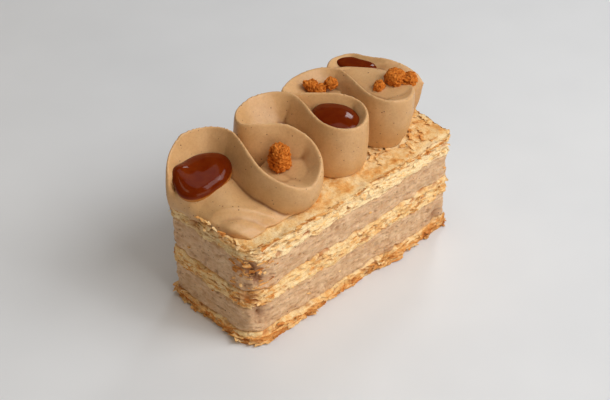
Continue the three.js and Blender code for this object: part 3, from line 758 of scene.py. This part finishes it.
def toast_of(layer, points):
    """How brown the pastry is baked: most on the deck and in the bottom sheet."""
    if layer["low"] == 0:
        toast = 0.55 - 0.06 * points[:, 2]
    elif layer["high"] == DECK:
        rim = smooth_step(-2.2, -0.2, points[:, 2] - deck_height(points[:, 0]))
        inside = smooth_step(0.5, 4, WIDTH / 2 - np.abs(points[:, 1]))
        toast = 0.03 + rim * (0.17 + 0.18 * inside)
    else:
        toast = np.full(len(points), 0.22)
    return toast + 0.2 * lumps(points, 7, 61) + 0.12 * lumps(points, 2.5, 62)


# The piped ribbon

def bend_rows(bend):
    """The rows of one bend, from where it opens to where it closes."""
    phases = [bend["open"], (bend["open"] + 90) / 2, 90, 45, 0]
    if "close" in bend:
        phases.append(bend["close"])
    enter, turn, leave = bend["rim"]
    steep = bend.get("steep", STEEP)
    rows = []
    for phase in phases:
        sine = math.sin(math.radians(phase))
        early = phase > 90
        share = (phase - 90) / (bend["open"] - 90) if early else (90 - phase) / 90
        x = bend["x"] + bend["half"] * math.cos(math.radians(phase))
        y = bend["outer"] + bend["side"] * bend["depth"] * (sine - 1)
        z = min(HIGHEST, turn + share * ((enter if early else leave) - turn))
        bank = bend["side"] * (0.6 + 0.4 * sine)
        rows.append((x, y, z, bank, bend["tuck"], bend["floor"], 0, INNER_REACH, steep))
    return rows


def ribbon_rows():
    """Rows of numbers along the ribbon, and which of them are its turns."""
    rows = [(*point, 1, 1, BENDS[0]["floor"], 0, INNER_REACH, BENDS[0]["steep"]) for point in CLIMB]
    peaks = []
    for bend in BENDS:
        if bend is BENDS[-1]:
            for point, bank in zip(CROSSING, CROSSING_BANK):
                rows.append((*point, bank, 1, bend["floor"], 0, INNER_REACH, STEEP))
        peaks.append(len(rows) + TURN_ROW)
        rows.extend(bend_rows(bend))
    for point, lean in zip(SINK, LEAN):
        rows.append((*point, 0.8, 1, min(BENDS[-1]["floor"], point[2] - 2), lean, SINK_REACH, STEEP))
    return np.array(rows, float), peaks


def ridge_point(rows, place):
    """A place on the smooth curve through the rows, as rows of a centripetal spline."""
    last = len(rows) - 1
    place = min(max(place, 0), last)
    index = min(int(place), last - 1)
    share = place - index
    here, after = rows[index, :3], rows[index + 1, :3]
    before = rows[index - 1, :3] if index > 0 else 2 * here - after
    beyond = rows[index + 2, :3] if index + 2 <= last else 2 * after - here
    step = after - here
    steps = (here - before, step, beyond - after)
    gap_0, gap_1, gap_2 = (math.sqrt(np.linalg.norm(gap)) for gap in steps)
    start = ((here - before) / gap_0 - (after - before) / (gap_0 + gap_1) + step / gap_1) * gap_1
    end = (step / gap_1 - (beyond - here) / (gap_1 + gap_2) + (beyond - after) / gap_2) * gap_1
    square = 3 * step - 2 * start - end
    cube = start + end - 2 * step
    return here + start * share + square * share ** 2 + cube * share ** 3


def row_value(rows, place, column):
    return float(np.interp(place, range(len(rows)), rows[:, column]))


def turn_radius(before, here, after):
    """The radius of the ridge as seen from above, positive where the ribbon turns left."""
    first, second, whole = (here - before)[:2], (after - here)[:2], (after - before)[:2]
    cross = first[0] * second[1] - first[1] * second[0]
    if cross == 0:
        return math.inf
    return np.linalg.norm(first) * np.linalg.norm(second) * np.linalg.norm(whole) / (2 * cross)


def flank(height, bowl, wall, reach, tuck, steep):
    """Points down one side of the ridge: wall 1 is a steep outer wall, wall 0 the slope of a bowl."""
    share = np.linspace(0, 1, FLANK_STEPS + 1)[1:]
    down = np.interp(share, FLANK_SHARES, WALL_POINTS)
    bowl_out = reach * np.interp(share, FLANK_SHARES, BOWL_POINTS)
    wall_out = WALL_BULGE * np.sqrt(down) * (1 - down) - tuck * down ** 2.5
    bowl_down = bowl * (1 - (1 - bowl_out / INNER_REACH) ** steep)
    bowl_down += (height - bowl_down) * np.clip((share - 5 / 6) * 6, 0, 1)
    out = bowl_out + wall * (wall_out - bowl_out)
    fall = bowl_down + wall * (height * down - bowl_down)
    return out, height - fall


def placed_section(out, up, ridge, along, trail):
    """A section's points, its foot trailing behind the ridge."""
    height = ridge[2] - FOOT
    back = trail * np.sqrt(np.maximum(0, 1 - up / height))
    x = ridge[0] - along[1] * out - along[0] * back
    y = ridge[1] + along[0] * out - along[1] * back
    return points_at(x, y, FOOT + up)


def ribbon_section(rows, place):
    """One section across the ribbon, and what a nose needs to follow it."""
    ridge = ridge_point(rows, place)
    before = ridge_point(rows, place - 0.2)
    after = ridge_point(rows, place + 0.2)
    along = (after - before)[:2] / np.linalg.norm((after - before)[:2])
    radius = turn_radius(before, ridge_point(rows, max(place, 0.1)), after)
    height = ridge[2] - FOOT
    bank, tuck, floor, trail, widest, steep = (
        row_value(rows, place, column) for column in (BANK, TUCK, FLOOR, TRAIL, REACH, FALL))
    bowl = max(2, ridge[2] - floor)
    halves = []
    for side in (-1, 1):
        wall = (1 + side * bank) / 2
        room = 0.85 * abs(radius) if radius * side > 0 else INNER_REACH
        out, up = flank(height, bowl, wall, min(widest, room), tuck, steep)
        halves.append((side * out, up))
    out = np.concatenate([halves[0][0][::-1], [0], halves[1][0]])
    up = np.concatenate([halves[0][1][::-1], [height], halves[1][1]])
    return out, up, ridge, along, trail


def ribbon_shells():
    """Closed shells of the ribbon from turn to turn, each overlapping the one before it."""
    rows, peaks = ribbon_rows()
    cuts = [0, *peaks, len(rows) - 1]
    shells = []
    for start, end in zip(cuts, cuts[1:]):
        parts = [ribbon_section(rows, step / RIBBON_STEPS)
                 for step in range(start * RIBBON_STEPS, end * RIBBON_STEPS + 1)]
        sections = [placed_section(*part) for part in parts]
        if start > 0:
            sections[0] = sections[0] - np.array([*parts[0][3], 0]) * OVERLAP
        if end == cuts[-1]:
            sections.extend(nose_sections(*parts[-1]))
        shells.append(lofted(sections))
    return shells


def nose_sections(out, up, ridge, along, trail):
    """The last section again, smaller and further on."""
    sections = []
    for ahead, share in NOSE:
        shift = ahead - trail * math.sqrt(1 - share)
        height = FOOT + share * (ridge[2] - FOOT)
        tip = np.array([ridge[0] + along[0] * shift, ridge[1] + along[1] * shift, height])
        behind = trail + shift - NOSE_SPREAD * ahead
        sections.append(placed_section(out * share, up * share, tip, along, behind))
    return sections


def plug_shell(bend):
    """Cream that fills the middle of a bend up to the floor of its bowl."""
    angles = np.linspace(0, 2 * math.pi, PLUG_SIDES, endpoint=False)
    top = bend["floor"]
    rings = []
    for share, height in ((PLUG_FOOT, FOOT), (PLUG_SHARE, top - PLUG_STEM), (PLUG_SHARE, top)):
        x = bend["x"] + share * bend["half"] * np.cos(angles)
        y = bend["outer"] - bend["side"] * bend["depth"] + share * bend["depth"] * np.sin(angles)
        rings.append(points_at(x, y, height))
    return lofted(rings)


def fill_shells():
    """Cream inside a bowl, out to the ridge round it."""
    rows, _ = ribbon_rows()
    shells = []
    for fill in FILLS:
        ridge = np.array([ridge_point(rows, place) for place in np.arange(*fill["ridge"], 0.5)])
        middle = ridge.mean(axis=0)
        rings = []
        for share, height in ((0.5, FOOT), (0.9, fill["height"] - FILL_STEM)):
            x, y, _ = (middle + share * (ridge - middle)).T
            rings.append(points_at(x, y, height))
        for share in FILL_RINGS:
            ring = middle + share * (ridge - middle)
            top = fill["height"] + (ring[:, :2] - fill["at"]) @ fill["rise"]
            ring[:, 2] = np.minimum(top, np.minimum(fill["most"], ridge[:, 2] - 0.1 + 2 * (1 - share)))
            rings.append(ring)
        shells.append(lofted(rings))
    return shells


def tongue_shell():
    """The low start of the piping: a sharp edge at its left, and a back that arches up from there."""
    table = np.array(TONGUE, float)
    sections = []
    for place in np.linspace(0, len(table) - 1, TONGUE_ROWS):
        y, left, right, edge, crown, shift, sharp = (
            np.interp(place, range(len(table)), column) for column in table.T)
        share = np.linspace(0, 1, TONGUE_POINTS)
        x = left + share * (right - left)
        lift = edge + (crown - edge) * np.abs(np.sin(math.pi * share ** shift)) ** sharp
        top = points_at(x, y, FOOT + np.maximum(lift + tongue_relief(x, y), 0.3))
        sections.append(np.vstack([[left, y, FOOT], top, [right, y, FOOT]]))
    return lofted(sections)


def tongue_relief(x, y):
    """The scoop across the tongue and the crease above it, which fade out at their ends."""
    x, y = x - FOLDS_AT[0], y - FOLDS_AT[1]
    across = x * FOLDS_ACROSS[0] + y * FOLDS_ACROSS[1]
    along = x * FOLDS_ACROSS[1] - y * FOLDS_ACROSS[0]
    bow = across + FOLDS_BOW * along ** 2
    span = smooth_step(-12, -7, along) * smooth_step(18, 11, along)
    return span * sum(fold["lift"] * np.exp(-((bow - fold["on"]) / fold["width"]) ** 2) for fold in FOLDS)


def piped_mesh():
    shells = [*ribbon_shells(), *(plug_shell(bend) for bend in BENDS), tongue_shell(), *fill_shells()]
    mesh = fused("piped_cream_skin", shells, CREAM_VOXEL, CREAM_ROUNDING, CREAM_KEPT)
    points, normals = points_and_normals(mesh)
    uneven = SWELL + 0.14 * lumps(points, 7, 71) + 0.05 * lumps(points, 2, 72)
    above = smooth_step(DECK + 0.5, DECK + 3, points[:, 2])
    move_points(mesh, points + normals * (uneven * above)[:, None])
    # painted shade: a mask of the creases, where the cream is darkened
    set_value(mesh, "crease_shade", smooth_step(*CREASE_SHADE_DEPTHS, creases_of(mesh, points, normals)))
    return mesh


# Drops of caramel

def rotation(turns):
    """The rotation of a drop: about z, then about its own y and x."""
    about_z, about_y, about_x = (math.radians(turn) for turn in turns)
    level = Matrix.Rotation(about_z, 3, "Z") @ Matrix.Rotation(-about_y, 3, "Y")
    return np.array(level @ Matrix.Rotation(about_x, 3, "X"))


def drop_mesh(drop):
    """A drop with a flat crown over a deeper underside."""
    unit, faces = ball(0, 1, 5)
    shape = unit.copy()
    above = unit[:, 2] > 0
    shape[above, 2] = 1 - (1 - unit[above, 2]) ** drop["flat"]
    shape[~above, 2] *= DROP_DEPTH
    fuller = 1 + drop.get("corner", 0) * np.maximum(0, -unit[:, 0]) * np.maximum(0, -unit[:, 1])
    shape[:, :2] *= fuller[:, None]
    swell = 1 + 0.04 * lumps(unit, 0.9, 81)
    points = (shape * drop["half"] * swell[:, None]) @ rotation(drop["turns"]).T + drop["at"]
    points[:, 2] += DROP_SWELL["lift"] * bell(points[:, :2], DROP_SWELL["at"], DROP_SWELL["size"])
    mesh = make_mesh(drop["name"] + "_gloss", points, faces)
    set_value(mesh, "thin", smooth_step(0.2, 0, unit[:, 2]))
    return mesh


# Crumbs of biscuit

def crumb_mesh(crumb, seed):
    """A rough lump of biscuit, with grains all over it."""
    shells = []
    for centre, half in crumb["lumps"]:
        unit, faces = ball(0, 1, 5)
        blocky = unit / (np.abs(unit) ** crumb["blocky"]).sum(axis=1)[:, None] ** (1 / crumb["blocky"])
        shells.append((centre + blocky * half * CRUMB_CORE, faces))
    mesh = fused(crumb["name"] + "_grains", shells, CRUMB_VOXEL, CRUMB_ROUNDING)
    points, normals = points_and_normals(mesh)
    chunks = lumps(points, 3.2, seed + 90)
    grains = 1 - 2 * np.abs(lumps(points, 1.3, seed + 95))
    sand = lumps(points, GRAIN, seed + 100)
    relief = 0.6 * chunks + 0.2 * grains + 0.6 * sand
    move_points(mesh, points + normals * relief[:, None])
    # painted shade: a mask of the crevices between the grains, where the crumb is darkened
    set_value(mesh, "depth", smooth_step(0.1, -0.5, 0.3 * chunks + 0.5 * grains + 0.5 * sand))
    return mesh


# Loose flakes and specks

def flake_faces():
    """Faces of a leaf, whose lower points follow its upper ones in the same order."""
    count = FLAKE_COLUMNS * FLAKE_STEPS
    grid = np.arange(count).reshape(FLAKE_COLUMNS, FLAKE_STEPS)
    faces = []
    for a, b in zip(grid[:-1, :-1].ravel().tolist(), grid[1:, :-1].ravel().tolist()):
        faces.append([a, b, b + 1, a + 1])
        faces.append([count + a + 1, count + b + 1, count + b, count + a])
    rim = np.concatenate([grid[:, 0], grid[-1, 1:], grid[-2::-1, -1], grid[0, -2:0:-1]]).tolist()
    faces += [[b, a, count + a, count + b] for a, b in zip(rim, rim[1:] + rim[:1])]
    return faces


def flake(at, out, width, length, lift, draw):
    """The points of one thin curled leaf, which starts at a place and reaches out from it."""
    across = np.array([-out[1], out[0], 0])
    curl = draw.uniform(-0.5, 0.5)
    thick = draw.uniform(*FLAKE_THICKNESS)
    upper = []
    for i, j in itertools.product(range(FLAKE_COLUMNS), range(FLAKE_STEPS)):
        u = i / (FLAKE_COLUMNS - 1) - 0.5
        v = j / (FLAKE_STEPS - 1)
        edge = j == FLAKE_STEPS - 1 or i in (0, FLAKE_COLUMNS - 1)
        ragged = draw.uniform(-RAGGED, RAGGED) if edge else 0
        reach = length * (v * (1 - 0.7 * u * u) + ragged * v) - FLAKE_ROOT
        rise = lift * v * length + curl * (u * u + 0.5 * v * v) * length * 0.6
        point = at + np.array([*out, 0]) * reach + across * (u * width * (1 + ragged))
        upper.append(point + (0, 0, rise + draw.uniform(-0.08, 0.08)))
    return np.vstack([upper, np.array(upper) - (0, 0, thick)])


def side_flake(kind, spot, draw):
    """A leaf that stands out of a cut side."""
    x, y, out_x, out_y = spot
    z = draw.uniform(*kind["z"])
    at = np.array([[x, y, z]])
    inset = hollow_depth(at)[0] - (spread_reach(at)[0] if z < LAYERS[0]["high"] else 0)
    turn = draw.gauss(0, 0.3)
    cosine, sine = math.cos(turn), math.sin(turn)
    out = (out_x * cosine - out_y * sine, out_x * sine + out_y * cosine)
    level = kind["z"][0]
    height = z + interface_height(level, x, y) - level
    start = (x - out_x * inset, y - out_y * inset, max(height, 0.5))
    width, length = draw.uniform(*kind["width"]), draw.uniform(*kind["length"])
    points = flake(start, out, width, length, draw.gauss(0, kind["lift"]), draw)
    points[:, 2] = np.maximum(points[:, 2], FLAKE_LOWEST)
    return points


def deck_leaf(draw):
    """A leaf that lies loose on the deck."""
    x, y = draw.uniform(*DECK_LEAVES["x"]), draw.uniform(*DECK_LEAVES["y"])
    turn = draw.uniform(0, 2 * math.pi)
    at = (x, y, deck_height(x) - DECK_LEAVES["sunk"])
    width, length, lift = (draw.uniform(*DECK_LEAVES[name]) for name in ("width", "length", "lift"))
    return flake(at, (math.cos(turn), math.sin(turn)), width, length, lift, draw)


def flakes_mesh():
    """All leaves as one mesh, browner towards their tips."""
    draw = random.Random(5)
    place = outline(FLAKE_SPACING)
    tips = np.tile(np.linspace(0, 1, FLAKE_STEPS), 2 * FLAKE_COLUMNS)
    faces = flake_faces()
    leaves = []
    toasts = []
    for kind in FLAKES:
        spots = place
        if "near" in kind:
            spots = place[np.hypot(*(place[:, :2] - kind["near"]).T) < kind["spread"]]
        for _ in range(kind["count"]):
            leaves.append((side_flake(kind, spots[draw.randrange(len(spots))], draw), faces))
            toasts.extend(kind["toast"] + draw.uniform(-0.2, 0.2) + 0.2 * tips ** 2)
    for _ in range(DECK_LEAVES["count"]):
        leaves.append((deck_leaf(draw), faces))
        toasts.extend(draw.uniform(*DECK_LEAVES["toast"]) + 0.25 * tips ** 2)
    mesh = make_mesh("pastry_flakes", *joined(leaves))
    set_value(mesh, "toast", toasts)
    # the flakes get no painted shade
    set_value(mesh, "depth", np.zeros(len(toasts)))
    return mesh


def specks_mesh(skin):
    """Small dark crumbs of spice and biscuit, sunk into the skin of the piped cream."""
    draw = random.Random(8)
    places, normals = points_and_normals(skin)
    grains = []
    while len(grains) < SPECK_COUNT:
        index = draw.randrange(len(places))
        if places[index][2] < DECK + 1:
            continue
        radius = draw.choice(SPECK_RADII)
        centre = places[index] - normals[index] * radius * SPECK_SUNK
        radii = np.array([radius * draw.uniform(0.7, 1.3) for _ in range(3)])
        grains.append(ball(centre, radii, 1))
    return make_mesh("spice_specks", *joined(grains))


# The stage

def direction(bearing, elevation):
    """The way from the slice towards a bearing (0 is its front, 90 its right) and a height."""
    side, up = math.radians(bearing), math.radians(elevation)
    return Vector((math.sin(side) * math.cos(up), -math.cos(side) * math.cos(up), math.sin(up)))


def add_camera():
    back = direction(BEARING, ELEVATION)
    right = direction(BEARING + 90, 0)
    up = back.cross(right)
    place = (Vector(AIM) + back * DISTANCE) * MM
    data = bpy.data.cameras.new("camera")
    data.sensor_width = SENSOR
    data.lens = FOCAL * SENSOR / PHOTO_WIDTH
    camera = bpy.data.objects.new("camera", data)
    camera.matrix_world = Matrix(((*right, 0), (*up, 0), (*back, 0), (*place, 1))).transposed()
    bpy.context.collection.objects.link(camera)
    bpy.context.scene.camera = camera


def add_light(name, bearing, elevation, distance, size, power, colour=(1, 1, 1)):
    data = bpy.data.lights.new(name, "AREA")
    data.shape = "RECTANGLE"
    data.size, data.size_y = size
    data.energy = power
    data.color = colour
    light = bpy.data.objects.new(name, data)
    way = direction(bearing, elevation)
    light.location = way * distance + Vector((0, 0, LIGHT_AIM))
    light.rotation_euler = way.to_track_quat("Z", "Y").to_euler()
    bpy.context.collection.objects.link(light)


def add_floor():
    work = bmesh.new()
    bmesh.ops.create_grid(work, x_segments=8, y_segments=8, size=FLOOR_SIZE)
    mesh = bpy.data.meshes.new("floor")
    work.to_mesh(mesh)
    work.free()
    floor = bpy.data.objects.new("floor", mesh)
    bpy.context.collection.objects.link(floor)
    paint = Paint("floor")
    paint.colour(paint.ramp(paint.noise(60, 2), FLOOR_TONES))
    paint.set(roughness=0.45)
    mesh.materials.append(paint.material)


def add_world():
    world = bpy.data.worlds.new("studio")
    world.use_nodes = True
    background = world.node_tree.nodes["Background"]
    background.inputs["Color"].default_value = (*WORLD_COLOUR, 1)
    background.inputs["Strength"].default_value = WORLD_LEVEL
    bpy.context.scene.world = world


def add_studio():
    add_camera()
    add_floor()
    add_world()
    for light in LIGHTS:
        add_light(*light)
    bpy.context.scene.view_settings.view_transform = "Standard"


def add_layers():
    paints = {"pastry": pastry_material(), "cream": filling_material()}
    for layer in LAYERS:
        add_piece(layer_mesh(layer), paints[layer["kind"]], [layer["name"]])
    add_piece(flakes_mesh(), paints["pastry"], smooth=False)


def add_piping():
    skin = piped_mesh()
    add_piece(skin, piped_material(), ["piped_cream"])
    add_piece(specks_mesh(skin), speck_material())


def add_toppings():
    caramel = caramel_material()
    for drop in DROPS:
        add_piece(drop_mesh(drop), caramel, [drop["name"]])
    biscuit = biscuit_material()
    for number, crumb in enumerate(CRUMBS):
        add_piece(crumb_mesh(crumb, number + 1), biscuit, [crumb["name"]])


add_studio()
add_layers()
add_piping()
add_toppings()
